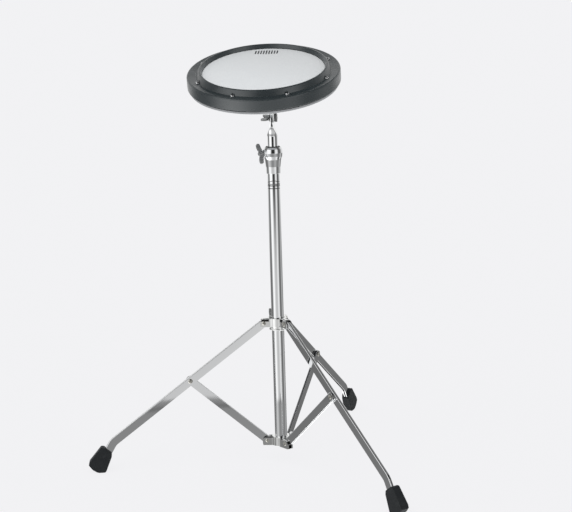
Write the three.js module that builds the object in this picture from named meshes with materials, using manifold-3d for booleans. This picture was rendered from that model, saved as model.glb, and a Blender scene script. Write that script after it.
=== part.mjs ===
// A drummer's practice pad on a folding tripod stand.
//
// Millimetres, +Z up. The object stands on z = 0 with its box centred on x = 0, y = 0.
// The stand is drawn around its tube axis, and the whole group is moved to its box centre at the end.
// The pad is drawn around its tilt pivot: local x runs along the tilt bolt and local z out of the drumhead.

import * as THREE from "three";
import { mergeVertices } from "three/addons/utils/BufferGeometryUtils.js";
import Module from "manifold-3d";

const wasm = await Module();
wasm.setup();

// ---------------------------------------------------------------- driving dimensions

const GAP = 0.3; // clearance between two pieces that touch

// Tripod linkage
const FIRST_LEG_HEADING = 184.2; // degrees from +X, of leg a
const PIVOT_RADIUS = 21.5; // of the collar's and the bracket's pivots, from the tube axis
const LOWER_PIVOT_Z = 36;
const UPPER_PIVOT_Z = 225.7;
const LEG_SPAN = 145.5; // upper pivot to middle pivot, along the leg
const BRACE_SPAN = 155.2; // lower pivot to middle pivot, along the brace
const LEG_STRAIGHT = 298.7; // upper pivot to the bend above the foot
const LEG_BEND = 22.9; // degrees
const LEG_TAIL = 37; // bend to the end inside the foot
const BAR_HEIGHT = 12.7; // of legs and braces, in the plane in which they fold
const LEG_WIDTH = 5;
const BRACE_WIDTH = 4;
const BAR_WALL = 1.2;
const LEG_OFFSET = -1.7; // of the leg's middle from the fold plane, positive to the right looking outward
const BRACE_OFFSET = 3.1;
const LEG_END_RADIUS = 5.2;
const RIVET_RADIUS = 2;
const RIVET_HEAD_RADIUS = 3.6;
const RIVET_HEAD_HEIGHT = 1.4;
const RIVET_HOLE = RIVET_RADIUS + GAP;
const OPEN_PIVOT_HOLE = 3.4; // the loop's two open pivots need this much play while folding

// Tubes and height clamp
const TUBE_RADIUS = 9.525;
const TUBE_BORE = 8.425;
const TUBE_BOTTOM = 32.6;
const TUBE_TOP = 482;
const CRIMP_HEIGHTS = [432.5, 437.5, 445];
const MAST_RADIUS = 7.95;
const MAST_BORE = 6.75;
const MAST_BOTTOM = 150;
const MAST_FLATTEN_START = 511;
const MAST_FLATTEN_END = 531.4;
const BLADE_THICKNESS = 2.6;
const BLADE_WIDTH = 22;
const TILT_PIVOT_Z = 539.2;
const CLAMP_BOTTOM = 455.7;
const CLAMP_TOP = 495.5;
const CLAMP_BOLT_Z = 486.5;
const CLAMP_BOLT_HEADING = 205;
const BUSHING_RADIUS = 11.1;

// Sliding collar and fixed bracket
const COLLAR_RADIUS = 13.2;
const COLLAR_BORE = 10.5;
const COLLAR_BELOW_PIVOT = 11.6;
const COLLAR_ABOVE_PIVOT = 7;
const COLLAR_BOLT_HEADING = 118;
const BRACKET_RADIUS = 12.8;
const BRACKET_BELOW_PIVOT = 6.5;
const BRACKET_ABOVE_PIVOT = 6.2;
const EAR_PLATE = 2.2;
const COLLAR_EAR_REACH = 5.8; // past the pivot
const BRACKET_EAR_REACH = 7;

// Pad
const PAD_SWIVEL = 6.95; // degrees, of the tilt bolt from +X towards -Y
const PAD_TILT = 17.2; // degrees, drumhead turned down towards -Y
const PAD_OFFSET = -7.7; // of the pad's middle from the mast axis, along the tilt bolt
const CREST_HEIGHT = 82.3; // rim crest above the tilt pivot
const CREST_RADIUS = 93.3;
const RIM_RADIUS = 113.4;
const HEAD_DEPTH = 6.7; // playing surface below the crest
const FILM = 0.4;
const SKIRT_DEPTH = 24.8;
const PLATE_RADIUS = 110;
const PLATE_DEPTH = 29.8; // underside of the pad below the crest
const PLATE_THICKNESS = 3;
const SCREW_COUNT = 8;
const SCREW_CIRCLE = 101.4;
const SCREW_PHASE = 25.5; // degrees
const SCREW_SEAT = -8.3; // from the crest
const FLANGE_RADIUS = 30;
const FLANGE_SCREW_CIRCLE = 24;
const LUG_THICKNESS = 2.6;
const LUG_END_RADIUS = 7.6;
const BOLT_HEAD_RADIUS = 7;
const BOLT_HEAD_HEIGHT = 3.4;
const TILT_WASHER_RADIUS = 6.5;
const TILT_WASHER_THICKNESS = 1.5;
const TILT_NUT_TURN = -81; // degrees, of its wings

const RING_SIDES = 24;
const SMALL_SIDES = 10;
const PAD_SIDES = 48;

// ---------------------------------------------------------------- materials

function finish(name, color, roughness, metalness) {
  return new THREE.MeshStandardMaterial({ name, color, roughness, metalness });
}

const chrome = finish("chrome", 0xd4d8dc, 0.12, 1);
const plated = finish("plated_steel", 0xb4b8bb, 0.35, 1);
const zinc = finish("zinc_casting", 0x8e9396, 0.5, 0.8);
const rimPlastic = finish("rim_plastic", 0x535c5f, 0.55, 0);
const basePlastic = finish("base_plastic", 0xb9bcbe, 0.6, 0);
const film = finish("coated_film", 0xd9dcdd, 0.75, 0);
const aluminium = finish("aluminium", 0xc2c5c8, 0.4, 1);
const foam = finish("foam", 0x3a3a3c, 0.95, 0);
const board = finish("fibreboard", 0x9b7c55, 0.9, 0);
const brass = finish("brass", 0xc2a25a, 0.35, 1);
const nylon = finish("nylon", 0x1d1e20, 0.5, 0);
const rubber = finish("rubber", 0x23272a, 0.8, 0);

// ---------------------------------------------------------------- solids

const radians = THREE.MathUtils.degToRad;

function solidOf(geometry) {
  const bare = geometry.index ? geometry.toNonIndexed() : geometry.clone();
  bare.deleteAttribute("normal");
  bare.deleteAttribute("uv");
  const merged = mergeVertices(bare, 1e-4);
  return new wasm.Manifold(
    new wasm.Mesh({
      numProp: 3,
      vertProperties: merged.attributes.position.array,
      triVerts: new Uint32Array(merged.index.array),
    }),
  );
}

function geometryOf(solid) {
  const mesh = solid.getMesh();
  const geometry = new THREE.BufferGeometry();
  geometry.setAttribute("position", new THREE.BufferAttribute(mesh.vertProperties, 3));
  geometry.setIndex(new THREE.BufferAttribute(mesh.triVerts, 1));
  geometry.computeVertexNormals();
  return geometry;
}

function join(first, ...others) {
  return geometryOf(others.reduce((sum, g) => sum.add(solidOf(g)), solidOf(first)));
}

function cut(first, ...tools) {
  return geometryOf(tools.reduce((left, g) => left.subtract(solidOf(g)), solidOf(first)));
}

function common(first, second) {
  return geometryOf(solidOf(first).intersect(solidOf(second)));
}

// A profile of [radius, height] points, counterclockwise, turned round the Z axis.
function turned(profile, sides, closed = true) {
  const points = profile.map(([r, z]) => new THREE.Vector2(r, z));
  if (closed) points.push(points[0].clone());
  return new THREE.LatheGeometry(points, sides).rotateX(Math.PI / 2);
}

function ring(outer, inner, bottom, top, sides) {
  return turned([[inner, bottom], [outer, bottom], [outer, top], [inner, top]], sides);
}

// A round bar from bottom to top along Z.
function bar(radius, bottom, top, sides = SMALL_SIDES) {
  return new THREE.CylinderGeometry(radius, radius, top - bottom, sides)
    .rotateX(Math.PI / 2)
    .translate(0, 0, (top + bottom) / 2);
}

function alongX(geometry) {
  return geometry.rotateY(Math.PI / 2);
}

// A flat outline in x and y, from z = bottom to z = top.
function slab(shape, bottom, top, curveSegments = 8) {
  return new THREE.ExtrudeGeometry(shape, { depth: top - bottom, bevelEnabled: false, curveSegments })
    .translate(0, 0, bottom);
}

function outline(points) {
  return new THREE.Shape(points.map(([x, y]) => new THREE.Vector2(x, y)));
}

function block(x0, x1, y0, y1, z0, z1) {
  return new THREE.BoxGeometry(x1 - x0, y1 - y0, z1 - z0)
    .translate((x0 + x1) / 2, (y0 + y1) / 2, (z0 + z1) / 2);
}

function part(parent, name, geometry, material) {
  const mesh = new THREE.Mesh(geometry, material);
  mesh.name = name;
  parent.add(mesh);
  return mesh;
}

function group(parent, x = 0, y = 0, z = 0) {
  const made = new THREE.Group();
  made.position.set(x, y, z);
  parent.add(made);
  return made;
}

function headed(parent, degrees) {
  const made = group(parent);
  made.rotation.z = radians(degrees);
  return made;
}

// ---------------------------------------------------------------- fasteners

// A semi-tubular rivet along Z, with a head on each side of the stack that it holds.
function rivet(bottom, top) {
  const low = bottom - RIVET_HEAD_HEIGHT;
  const high = top + RIVET_HEAD_HEIGHT;
  return turned(
    [
      [0, low], [RIVET_HEAD_RADIUS - 0.8, low], [RIVET_HEAD_RADIUS, bottom],
      [RIVET_RADIUS, bottom], [RIVET_RADIUS, top],
      [RIVET_HEAD_RADIUS, top], [RIVET_HEAD_RADIUS - 0.8, high], [1.3, high], [0, high - 1.1],
    ],
    SMALL_SIDES, false,
  );
}

// A pan-head screw along Z: the head sits on z = 0 and the shank runs down.
function panScrew(headRadius, headHeight, shankRadius, length) {
  return turned(
    [
      [0, -length], [shankRadius, -length + 0.8], [shankRadius, 0], [headRadius, 0],
      [headRadius, headHeight * 0.45], [headRadius * 0.72, headHeight * 0.9], [0, headHeight],
    ],
    SMALL_SIDES, false,
  );
}

// Two thumb wings on a hub, along +X from x = start, the wings spread along Z.
function wings(start, hubRadius, hubLength, span, wingWidth, thickness) {
  const hub = alongX(turned(
    [
      [0, 0], [hubRadius, 0], [hubRadius, hubLength * 0.6],
      [hubRadius * 0.7, hubLength], [0, hubLength],
    ],
    SMALL_SIDES, false,
  ));
  const lobe = new THREE.Shape();
  const foot = hubRadius * 0.5;
  const lean = hubLength * 0.35;
  lobe.moveTo(0.6, foot);
  lobe.lineTo(hubLength * 0.7, foot);
  lobe.bezierCurveTo(
    hubLength * 0.8 + lean, span * 0.45, wingWidth + lean, span * 0.7, wingWidth * 0.9 + lean, span * 0.9,
  );
  lobe.bezierCurveTo(
    wingWidth * 0.75 + lean, span * 1.03, lean + 0.5, span * 1.03, lean, span * 0.86,
  );
  lobe.bezierCurveTo(lean * 0.8, span * 0.6, 0.6, span * 0.45, 0.6, foot);
  const upper = slab(lobe, -thickness / 2, thickness / 2, 4).rotateX(Math.PI / 2);
  const lower = upper.clone().rotateX(Math.PI);
  return join(hub, upper, lower).translate(start, 0, 0);
}

// ---------------------------------------------------------------- tripod linkage

// Angles of leg and brace from the vertical, from the triangle of the three pivots.
const PIVOT_RISE = UPPER_PIVOT_Z - LOWER_PIVOT_Z;
const LEG_ANGLE = Math.acos(
  (LEG_SPAN ** 2 + PIVOT_RISE ** 2 - BRACE_SPAN ** 2) / (2 * LEG_SPAN * PIVOT_RISE),
);
const BRACE_ANGLE = Math.acos(
  (BRACE_SPAN ** 2 + PIVOT_RISE ** 2 - LEG_SPAN ** 2) / (2 * BRACE_SPAN * PIVOT_RISE),
);

// Bars are drawn with x along the bar, y towards its top face and z to the right looking outward.
function barFrame(parent, z, slope) {
  const tilted = group(parent, PIVOT_RADIUS, 0, z);
  tilted.rotation.y = slope;
  const upright = group(tilted);
  upright.rotation.x = Math.PI / 2;
  return upright;
}

function pivotHole(x, radius) {
  return bar(radius, -LEG_WIDTH, LEG_WIDTH).translate(x, 0, 0);
}

function legOutline() {
  const half = BAR_HEIGHT / 2;
  const bend = radians(LEG_BEND);
  const mitre = half * Math.tan(bend / 2);
  const along = [Math.cos(bend), -Math.sin(bend)];
  const end = [LEG_STRAIGHT + along[0] * LEG_TAIL, along[1] * LEG_TAIL];
  const shape = new THREE.Shape();
  shape.moveTo(4, half);
  shape.lineTo(0, LEG_END_RADIUS);
  shape.absarc(0, 0, LEG_END_RADIUS, Math.PI / 2, (3 * Math.PI) / 2, false);
  shape.lineTo(4, -half);
  shape.lineTo(LEG_STRAIGHT - mitre, -half);
  shape.lineTo(end[0] + along[1] * half, end[1] - along[0] * half);
  shape.lineTo(end[0] - along[1] * half, end[1] + along[0] * half);
  shape.lineTo(LEG_STRAIGHT + mitre, half);
  return shape;
}

// The open underside of a leg: its outline moved down by the wall, and narrower.
function legGeometry(upperHole) {
  const solid = slab(legOutline(), -LEG_WIDTH / 2, LEG_WIDTH / 2, 6);
  const inner = LEG_WIDTH / 2 - BAR_WALL;
  const bend = radians(LEG_BEND);
  const floor = BAR_HEIGHT / 2 - BAR_WALL;
  const straight = block(-BAR_HEIGHT, LEG_STRAIGHT + 1, -BAR_HEIGHT, floor, -inner, inner);
  const tail = block(-2, LEG_TAIL + 2, -BAR_HEIGHT, floor, -inner, inner)
    .rotateZ(-bend)
    .translate(LEG_STRAIGHT, 0, 0);
  return cut(solid, straight, tail, pivotHole(0, upperHole), pivotHole(LEG_SPAN, RIVET_HOLE));
}

function braceGeometry() {
  const half = BAR_HEIGHT / 2;
  const shape = new THREE.Shape();
  shape.absarc(0, 0, half, Math.PI / 2, (3 * Math.PI) / 2, false);
  shape.absarc(BRACE_SPAN, 0, half, -Math.PI / 2, Math.PI / 2, false);
  const solid = slab(shape, -BRACE_WIDTH / 2, BRACE_WIDTH / 2, 6);
  const inner = BRACE_WIDTH / 2 - BAR_WALL * 0.8;
  const channel = block(
    -BAR_HEIGHT, BRACE_SPAN + BAR_HEIGHT, -BAR_HEIGHT, half - BAR_WALL, -inner, inner,
  );
  return cut(solid, channel, pivotHole(0, RIVET_HOLE), pivotHole(BRACE_SPAN, RIVET_HOLE));
}

// The foot's outline in the leg's plane: x outward from the tube axis, y up from the floor.
const FOOT_OUTLINE = [
  [275.3, 0], [286, 0], [294, 5.2], [299.8, 12.8], [298.4, 17.8], [280, 40],
  [275.6, 39.6], [264.2, 30.6], [264, 24.6], [273.2, 2.2],
];
const FOOT_TOP_WIDTH = 12.5;
const FOOT_BOTTOM_WIDTH = 15;

function footGeometry() {
  const body = slab(outline(FOOT_OUTLINE), -FOOT_TOP_WIDTH / 2, FOOT_TOP_WIDTH / 2);
  const flare = FOOT_BOTTOM_WIDTH / FOOT_TOP_WIDTH - 1;
  const top = 42;
  const positions = body.attributes.position;
  for (let i = 0; i < positions.count; i++) {
    const low = THREE.MathUtils.clamp(1 - positions.getY(i) / top, 0, 1);
    positions.setZ(i, positions.getZ(i) * (1 + flare * low));
  }
  return body;
}

function legSocket() {
  const half = BAR_HEIGHT / 2 + GAP;
  const width = LEG_WIDTH / 2 + GAP;
  return block(-4, LEG_TAIL + GAP, -half, half, -width, width)
    .rotateZ(-radians(LEG_BEND))
    .translate(LEG_STRAIGHT, 0, 0);
}

// Leg geometry in the foot's plane, from the leg's own frame.
function legToPlane(geometry) {
  return geometry
    .rotateZ(LEG_ANGLE - Math.PI / 2)
    .translate(PIVOT_RADIUS, UPPER_PIVOT_Z, 0);
}

function buildLeg(stand, letter, heading, upperHole) {
  const plane = headed(stand, heading);
  const leg = barFrame(plane, UPPER_PIVOT_Z, Math.PI / 2 - LEG_ANGLE);
  part(leg, "leg_" + letter, legGeometry(upperHole), plated).position.z = LEG_OFFSET;
  const left = LEG_OFFSET - LEG_WIDTH / 2 - GAP;
  const right = BRACE_OFFSET + BRACE_WIDTH / 2 + GAP;
  part(leg, "middle_rivet_" + letter, rivet(left, right).translate(LEG_SPAN, 0, 0), plated);
  const brace = barFrame(plane, LOWER_PIVOT_Z, BRACE_ANGLE - Math.PI / 2);
  part(brace, "brace_" + letter, braceGeometry(), plated).position.z = BRACE_OFFSET;
  const foot = group(plane);
  foot.rotation.x = Math.PI / 2;
  const rubberFoot = cut(footGeometry(), legToPlane(legSocket()));
  part(foot, "rubber_foot_" + letter, rubberFoot, rubber).position.z = LEG_OFFSET;
}

// ---------------------------------------------------------------- collar and bracket

// Two plates and a web, along +X from the ring. z is measured from the pivot.
function ears(middle, width, low, high, webLow, webHigh, reach) {
  const inner = width / 2 + 0.7;
  const outer = inner + EAR_PLATE;
  const shape = new THREE.Shape();
  const start = TUBE_RADIUS + 2;
  const centre = (low + high) / 2;
  const corner = (high - low) / 2;
  shape.moveTo(start, low);
  shape.lineTo(PIVOT_RADIUS + reach - 1, low);
  shape.lineTo(PIVOT_RADIUS + reach, low + 1);
  shape.absarc(PIVOT_RADIUS + reach - corner, centre, corner, 0, Math.PI / 2, false);
  shape.lineTo(start, high);
  const whole = slab(shape, -outer, outer, 4);
  const slot = block(COLLAR_RADIUS + 0.6, PIVOT_RADIUS + 20, webLow, webHigh, -inner, inner);
  const hole = bar(RIVET_HOLE, -outer - 1, outer + 1).translate(PIVOT_RADIUS, 0, 0);
  return cut(whole, slot, hole).rotateX(Math.PI / 2).translate(0, -middle, 0);
}

function withEars(body, pivotZ, makeEars) {
  const three = [0, 1, 2].map((k) =>
    makeEars().translate(0, 0, pivotZ).rotateZ(radians(FIRST_LEG_HEADING + 120 * k)));
  return join(body, ...three);
}

function boltHole(radius, z, heading, from, to) {
  return alongX(bar(radius, from, to)).translate(0, 0, z).rotateZ(radians(heading));
}

function collarGeometry() {
  const z = UPPER_PIVOT_Z;
  const low = z - COLLAR_BELOW_PIVOT;
  const high = z + COLLAR_ABOVE_PIVOT;
  const body = turned(
    [
      [TUBE_RADIUS - 1, low], [COLLAR_RADIUS - 0.4, low], [COLLAR_RADIUS + 0.4, low + 0.8],
      [COLLAR_RADIUS + 0.4, low + 2], [COLLAR_RADIUS, low + 2.6], [COLLAR_RADIUS, high - 0.8],
      [COLLAR_RADIUS - 0.8, high], [TUBE_RADIUS - 1, high],
    ],
    RING_SIDES,
  );
  const leg = () => ears(LEG_OFFSET, LEG_WIDTH, -6.4, 7, -20, 5.5, COLLAR_EAR_REACH);
  const boss = boltHole(6.2, z, COLLAR_BOLT_HEADING, 11, 19);
  const whole = join(withEars(body, z, leg), boss);
  const bore = bar(COLLAR_BORE, low - 1, high + 1, RING_SIDES);
  return cut(whole, bore, boltHole(3 + GAP, z, COLLAR_BOLT_HEADING, 9, 21));
}

function bracketGeometry() {
  const z = LOWER_PIVOT_Z;
  const low = z - BRACKET_BELOW_PIVOT;
  const high = z + BRACKET_ABOVE_PIVOT;
  const body = turned(
    [
      [TUBE_RADIUS - 1, low], [BRACKET_RADIUS - 0.7, low], [BRACKET_RADIUS, low + 0.7],
      [BRACKET_RADIUS, high - 0.7], [BRACKET_RADIUS - 0.7, high], [TUBE_RADIUS - 1, high],
    ],
    RING_SIDES,
  );
  const brace = () => ears(BRACE_OFFSET, BRACE_WIDTH, -7.9, 6.3, -6.9, 20, BRACKET_EAR_REACH);
  const whole = withEars(body, z, brace);
  return cut(whole, bar(TUBE_RADIUS + GAP, low - 1, high + 1, RING_SIDES));
}

function buildCollar(stand) {
  part(stand, "sliding_collar", collarGeometry(), chrome);
  part(stand, "fixed_bracket", bracketGeometry(), plated);
  const bolt = headed(stand, COLLAR_BOLT_HEADING);
  const hub = group(bolt, 0, 0, UPPER_PIVOT_Z);
  const shank = alongX(bar(3, TUBE_RADIUS + 0.5, 20));
  part(hub, "collar_wing_bolt", join(shank, wings(19.5, 4.4, 7, 16, 5, 2.4)), zinc);
}

function buildRivets(stand, letter, heading) {
  const plane = headed(stand, heading);
  const reach = (width) => width / 2 + 0.7 + EAR_PLATE + GAP;
  const place = (name, middle, width, z) => {
    const made = rivet(-reach(width), reach(width)).rotateX(Math.PI / 2);
    part(plane, name + letter, made, plated).position.set(PIVOT_RADIUS, -middle, z);
  };
  place("collar_rivet_", LEG_OFFSET, LEG_WIDTH, UPPER_PIVOT_Z);
  place("bracket_rivet_", BRACE_OFFSET, BRACE_WIDTH, LOWER_PIVOT_Z);
}

// ---------------------------------------------------------------- tubes and height clamp

function baseTubeGeometry() {
  const outer = [[TUBE_RADIUS, TUBE_BOTTOM]];
  for (const z of CRIMP_HEIGHTS) {
    outer.push([TUBE_RADIUS, z - 1.4], [TUBE_RADIUS - 0.6, z - 0.4]);
    outer.push([TUBE_RADIUS - 0.6, z + 0.4], [TUBE_RADIUS, z + 1.4]);
  }
  outer.push([TUBE_RADIUS, TUBE_TOP]);
  return turned([[TUBE_BORE, TUBE_BOTTOM], ...outer, [TUBE_BORE, TUBE_TOP]], RING_SIDES);
}

function plugGeometry() {
  return turned(
    [
      [0, TUBE_BOTTOM - 2.6], [TUBE_RADIUS - 1, TUBE_BOTTOM - 2.6], [TUBE_RADIUS - 0.2, TUBE_BOTTOM - 1.8],
      [TUBE_RADIUS - 0.2, TUBE_BOTTOM - GAP], [TUBE_BORE - GAP, TUBE_BOTTOM - GAP],
      [TUBE_BORE - GAP - 0.4, TUBE_BOTTOM + 12], [0, TUBE_BOTTOM + 12],
    ],
    RING_SIDES, false,
  );
}

// The mast is a round tube whose upper end is pressed flat across the tilt bolt.
function mastGeometry() {
  const blind = MAST_FLATTEN_START - 6;
  const top = TILT_PIVOT_Z + BLADE_WIDTH / 2;
  const steps = 7;
  const profile = [[0, blind], [MAST_BORE, blind], [MAST_BORE, MAST_BOTTOM], [MAST_RADIUS, MAST_BOTTOM]];
  for (let i = 0; i <= steps; i++) {
    const z = MAST_FLATTEN_START + ((MAST_FLATTEN_END - MAST_FLATTEN_START) * i) / steps;
    profile.push([MAST_RADIUS, z]);
  }
  profile.push([MAST_RADIUS, top], [0, top]);
  const tube = turned(profile, RING_SIDES, false);
  const positions = tube.attributes.position;
  for (let i = 0; i < positions.count; i++) {
    const rise = (positions.getZ(i) - MAST_FLATTEN_START) / (MAST_FLATTEN_END - MAST_FLATTEN_START);
    const press = THREE.MathUtils.smoothstep(rise, 0, 1);
    const limit = THREE.MathUtils.lerp(MAST_RADIUS, BLADE_THICKNESS / 2, press);
    const widen = THREE.MathUtils.lerp(1, BLADE_WIDTH / 2 / MAST_RADIUS, press);
    positions.setX(i, THREE.MathUtils.clamp(positions.getX(i), -limit, limit));
    positions.setY(i, positions.getY(i) * widen);
  }
  const tip = new THREE.Shape();
  tip.moveTo(BLADE_WIDTH, MAST_BOTTOM - 1);
  tip.lineTo(BLADE_WIDTH, TILT_PIVOT_Z - 6);
  tip.lineTo(BLADE_WIDTH / 2, TILT_PIVOT_Z);
  tip.absarc(0, TILT_PIVOT_Z, BLADE_WIDTH / 2 - 0.05, 0, Math.PI, false);
  tip.lineTo(-BLADE_WIDTH, TILT_PIVOT_Z - 6);
  tip.lineTo(-BLADE_WIDTH, MAST_BOTTOM - 1);
  const window = slab(tip, -20, 20).rotateX(Math.PI / 2).rotateZ(Math.PI / 2);
  const hole = alongX(bar(3 + GAP, -6, 6)).translate(0, 0, TILT_PIVOT_Z);
  return cut(common(tube, window), hole);
}

function clampGeometry() {
  const step = TUBE_TOP + GAP;
  const body = turned(
    [
      [TUBE_RADIUS + GAP, CLAMP_BOTTOM], [10.9, CLAMP_BOTTOM], [11.3, CLAMP_BOTTOM + 0.6],
      [11.9, 474], [12.6, 479.4], [14, 481.4], [14.7, 484.4], [14.8, 488], [14.2, 491.8],
      [13.2, 494.4], [12.2, CLAMP_TOP], [BUSHING_RADIUS + GAP, CLAMP_TOP],
      [BUSHING_RADIUS + GAP, step], [TUBE_RADIUS + GAP, step],
    ],
    RING_SIDES,
  );
  return cut(body, boltHole(3 + GAP, CLAMP_BOLT_Z, CLAMP_BOLT_HEADING, 10, 18));
}

function bushingGeometry() {
  const low = TUBE_TOP + 2 * GAP;
  const body = turned(
    [
      [MAST_RADIUS + GAP, low], [BUSHING_RADIUS, low], [BUSHING_RADIUS, CLAMP_TOP],
      [BUSHING_RADIUS - 0.8, CLAMP_TOP + 0.9], [MAST_RADIUS + 0.8, CLAMP_TOP + 0.9],
      [MAST_RADIUS + GAP, CLAMP_TOP + 0.4],
    ],
    RING_SIDES,
  );
  const split = block(MAST_RADIUS - 1, BUSHING_RADIUS + 1, -0.8, 0.8, low - 1, CLAMP_TOP + 2);
  return cut(body, split.rotateZ(Math.PI / 2));
}

function buildTubes(stand) {
  part(stand, "base_tube", baseTubeGeometry(), chrome);
  part(stand, "tube_plug", plugGeometry(), rubber);
  part(stand, "clamp_housing", clampGeometry(), chrome);
  const swivel = headed(stand, -PAD_SWIVEL);
  part(swivel, "split_bushing", bushingGeometry(), nylon);
  part(swivel, "mast_tube", mastGeometry(), chrome);
  const bolt = group(headed(stand, CLAMP_BOLT_HEADING), 0, 0, CLAMP_BOLT_Z);
  const shank = alongX(bar(3, BUSHING_RADIUS + GAP, 16));
  const wingBolt = part(bolt, "clamp_wing_bolt", join(shank, wings(15.2, 4, 8, 16, 6, 3.2)), zinc);
  wingBolt.rotation.x = radians(28);
}

// ---------------------------------------------------------------- pad

function ringOf(count, radius, phase, make) {
  return Array.from({ length: count }, (_, k) => {
    const angle = radians(phase) + (2 * Math.PI * k) / count;
    return make(k).translate(radius * Math.cos(angle), radius * Math.sin(angle), 0);
  });
}

// The tension rim: crest, sloping faces on both sides of it, screw channel and skirt.
function rimGeometry() {
  const inner = RIM_RADIUS - 2.9;
  const lip = HEAD_DEPTH - GAP;
  const body = turned(
    [
      [92.4, -lip - 3.4], [98.2, -lip - 3.4], [98.2, -11.3], [inner, -11.3], [inner, -SKIRT_DEPTH],
      [RIM_RADIUS, -SKIRT_DEPTH], [RIM_RADIUS, -9.4], [RIM_RADIUS - 1.6, -7.3], [100.4, -8.2],
      [98.7, -7.2], [94.6, -0.4], [CREST_RADIUS, 0], [92.2, -0.5], [90.5, -lip], [92.4, -lip],
    ],
    PAD_SIDES,
  );
  const holes = ringOf(SCREW_COUNT, SCREW_CIRCLE, SCREW_PHASE, () => turned(
    [[0, -14], [2.4, -14], [2.4, SCREW_SEAT], [3.8, SCREW_SEAT], [3.8, -3], [0, -3]],
    SMALL_SIDES, false,
  ));
  return cut(body, ...holes);
}

// The moulded base: a floor, a raised wall whose top is the bearing edge, and a boss under each screw.
function baseGeometry() {
  const floor = -PLATE_DEPTH + PLATE_THICKNESS;
  const edge = -HEAD_DEPTH - FILM - GAP;
  const body = turned(
    [
      [0, -PLATE_DEPTH], [PLATE_RADIUS - 0.8, -PLATE_DEPTH], [PLATE_RADIUS, -PLATE_DEPTH + 0.8],
      [PLATE_RADIUS, -SKIRT_DEPTH - 0.4], [PLATE_RADIUS - 3, -SKIRT_DEPTH - 0.4],
      [PLATE_RADIUS - 3, floor], [91, floor],
      [91, edge - 1.6], [89.2, edge], [87, edge], [87, floor], [0, floor],
    ],
    PAD_SIDES, false,
  );
  const bosses = ringOf(SCREW_COUNT, SCREW_CIRCLE, SCREW_PHASE, () => bar(5.4, floor - 1, -14.6));
  const bores = ringOf(SCREW_COUNT, SCREW_CIRCLE, SCREW_PHASE, () => bar(3.9, floor + 0.8, -14));
  const screws = ringOf(4, FLANGE_SCREW_CIRCLE, 45, () => bar(2.2, -PLATE_DEPTH - 1, floor + 1, 12));
  return cut(join(body, ...bosses), ...bores, ...screws);
}

function boardGeometry() {
  const low = -PLATE_DEPTH + PLATE_THICKNESS + GAP;
  const body = bar(86.6, low, -13.4, 48);
  const pilots = ringOf(4, FLANGE_SCREW_CIRCLE, 45, () => bar(2.2, low - 1, low + 9, 12));
  return cut(body, ...pilots);
}

function filmGeometry() {
  const top = -HEAD_DEPTH;
  const under = top - FILM;
  return turned(
    [
      [0, under], [90.1, under], [91.35, under - 1.7], [91.35, -13],
      [91.75, -13], [91.75, under - 1.5], [90.3, top], [0, top],
    ],
    PAD_SIDES, false,
  );
}

function hoopGeometry() {
  const top = -HEAD_DEPTH - 3.4;
  return turned([[92.1, top - 3.4], [97.4, top - 3.4], [97.4, top], [92.1, top]], PAD_SIDES);
}

// The flange screwed to the base, with the lug that the tilt bolt passes through.
// z = 0 is the tilt pivot and x = 0 is the pad's middle plane.
function flangeGeometry(mountZ) {
  const thickness = 4;
  const plate = turned(
    [
      [0, mountZ - thickness], [FLANGE_RADIUS - 1, mountZ - thickness],
      [FLANGE_RADIUS, mountZ - thickness + 1], [FLANGE_RADIUS, mountZ], [0, mountZ],
    ],
    RING_SIDES, false,
  );
  const end = LUG_END_RADIUS;
  const shape = new THREE.Shape();
  shape.moveTo(end, 0);
  shape.lineTo(end + 1, 26);
  shape.quadraticCurveTo(end + 2, mountZ - 8, 24, mountZ - thickness + 0.5);
  shape.lineTo(-24, mountZ - thickness + 0.5);
  shape.quadraticCurveTo(-end - 2, mountZ - 8, -end - 1, 26);
  shape.lineTo(-end, 0);
  shape.absarc(0, 0, end, Math.PI, 2 * Math.PI, false);
  const side = BLADE_THICKNESS / 2 + GAP - PAD_OFFSET;
  const lug = slab(shape, side, side + LUG_THICKNESS).rotateX(Math.PI / 2).rotateZ(Math.PI / 2);
  const hole = alongX(bar(3 + GAP, side - 1, side + LUG_THICKNESS + 1));
  const screws = ringOf(4, FLANGE_SCREW_CIRCLE, 45, () => bar(2.2, mountZ - 8, mountZ + 1, 12));
  return cut(join(plate, lug), hole, ...screws);
}

function buildTilter(tilter, pad) {
  const mountZ = CREST_HEIGHT - PLATE_DEPTH - GAP;
  const flange = part(tilter, "tilter_flange", flangeGeometry(mountZ), zinc);
  flange.position.x = PAD_OFFSET;
  ringOf(4, FLANGE_SCREW_CIRCLE, 45, () =>
    panScrew(3.6, 2.2, 1.9, 14).rotateX(Math.PI).translate(0, 0, -PLATE_DEPTH - 4 - 2 * GAP),
  ).forEach((screw, k) => part(pad, "flange_screw_" + (k + 1), screw, plated));

  const washerSide = -BLADE_THICKNESS / 2 - GAP;
  const nutSide = washerSide - TILT_WASHER_THICKNESS - GAP;
  const washer = alongX(ring(TILT_WASHER_RADIUS, 3 + GAP, nutSide + GAP, washerSide, 24));
  part(tilter, "tilt_washer", washer, nylon);

  const headStart = BLADE_THICKNESS / 2 + LUG_THICKNESS + 2 * GAP;
  const head = new THREE.CylinderGeometry(BOLT_HEAD_RADIUS, BOLT_HEAD_RADIUS, BOLT_HEAD_HEIGHT, 6)
    .rotateX(Math.PI / 2)
    .translate(0, 0, headStart + BOLT_HEAD_HEIGHT / 2);
  const bolt = alongX(join(head, bar(3, nutSide - 8.5, headStart + 1)));
  part(tilter, "tilt_bolt", bolt, plated);

  const nut = cut(wings(0, 4.4, 7.5, 15, 10, 3), alongX(bar(3 + GAP, -1, 12)));
  const nutFrame = group(tilter, nutSide, 0, 0);
  nutFrame.rotation.z = Math.PI;
  part(nutFrame, "tilt_wing_nut", nut, zinc).rotation.x = radians(TILT_NUT_TURN);
}

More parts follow.
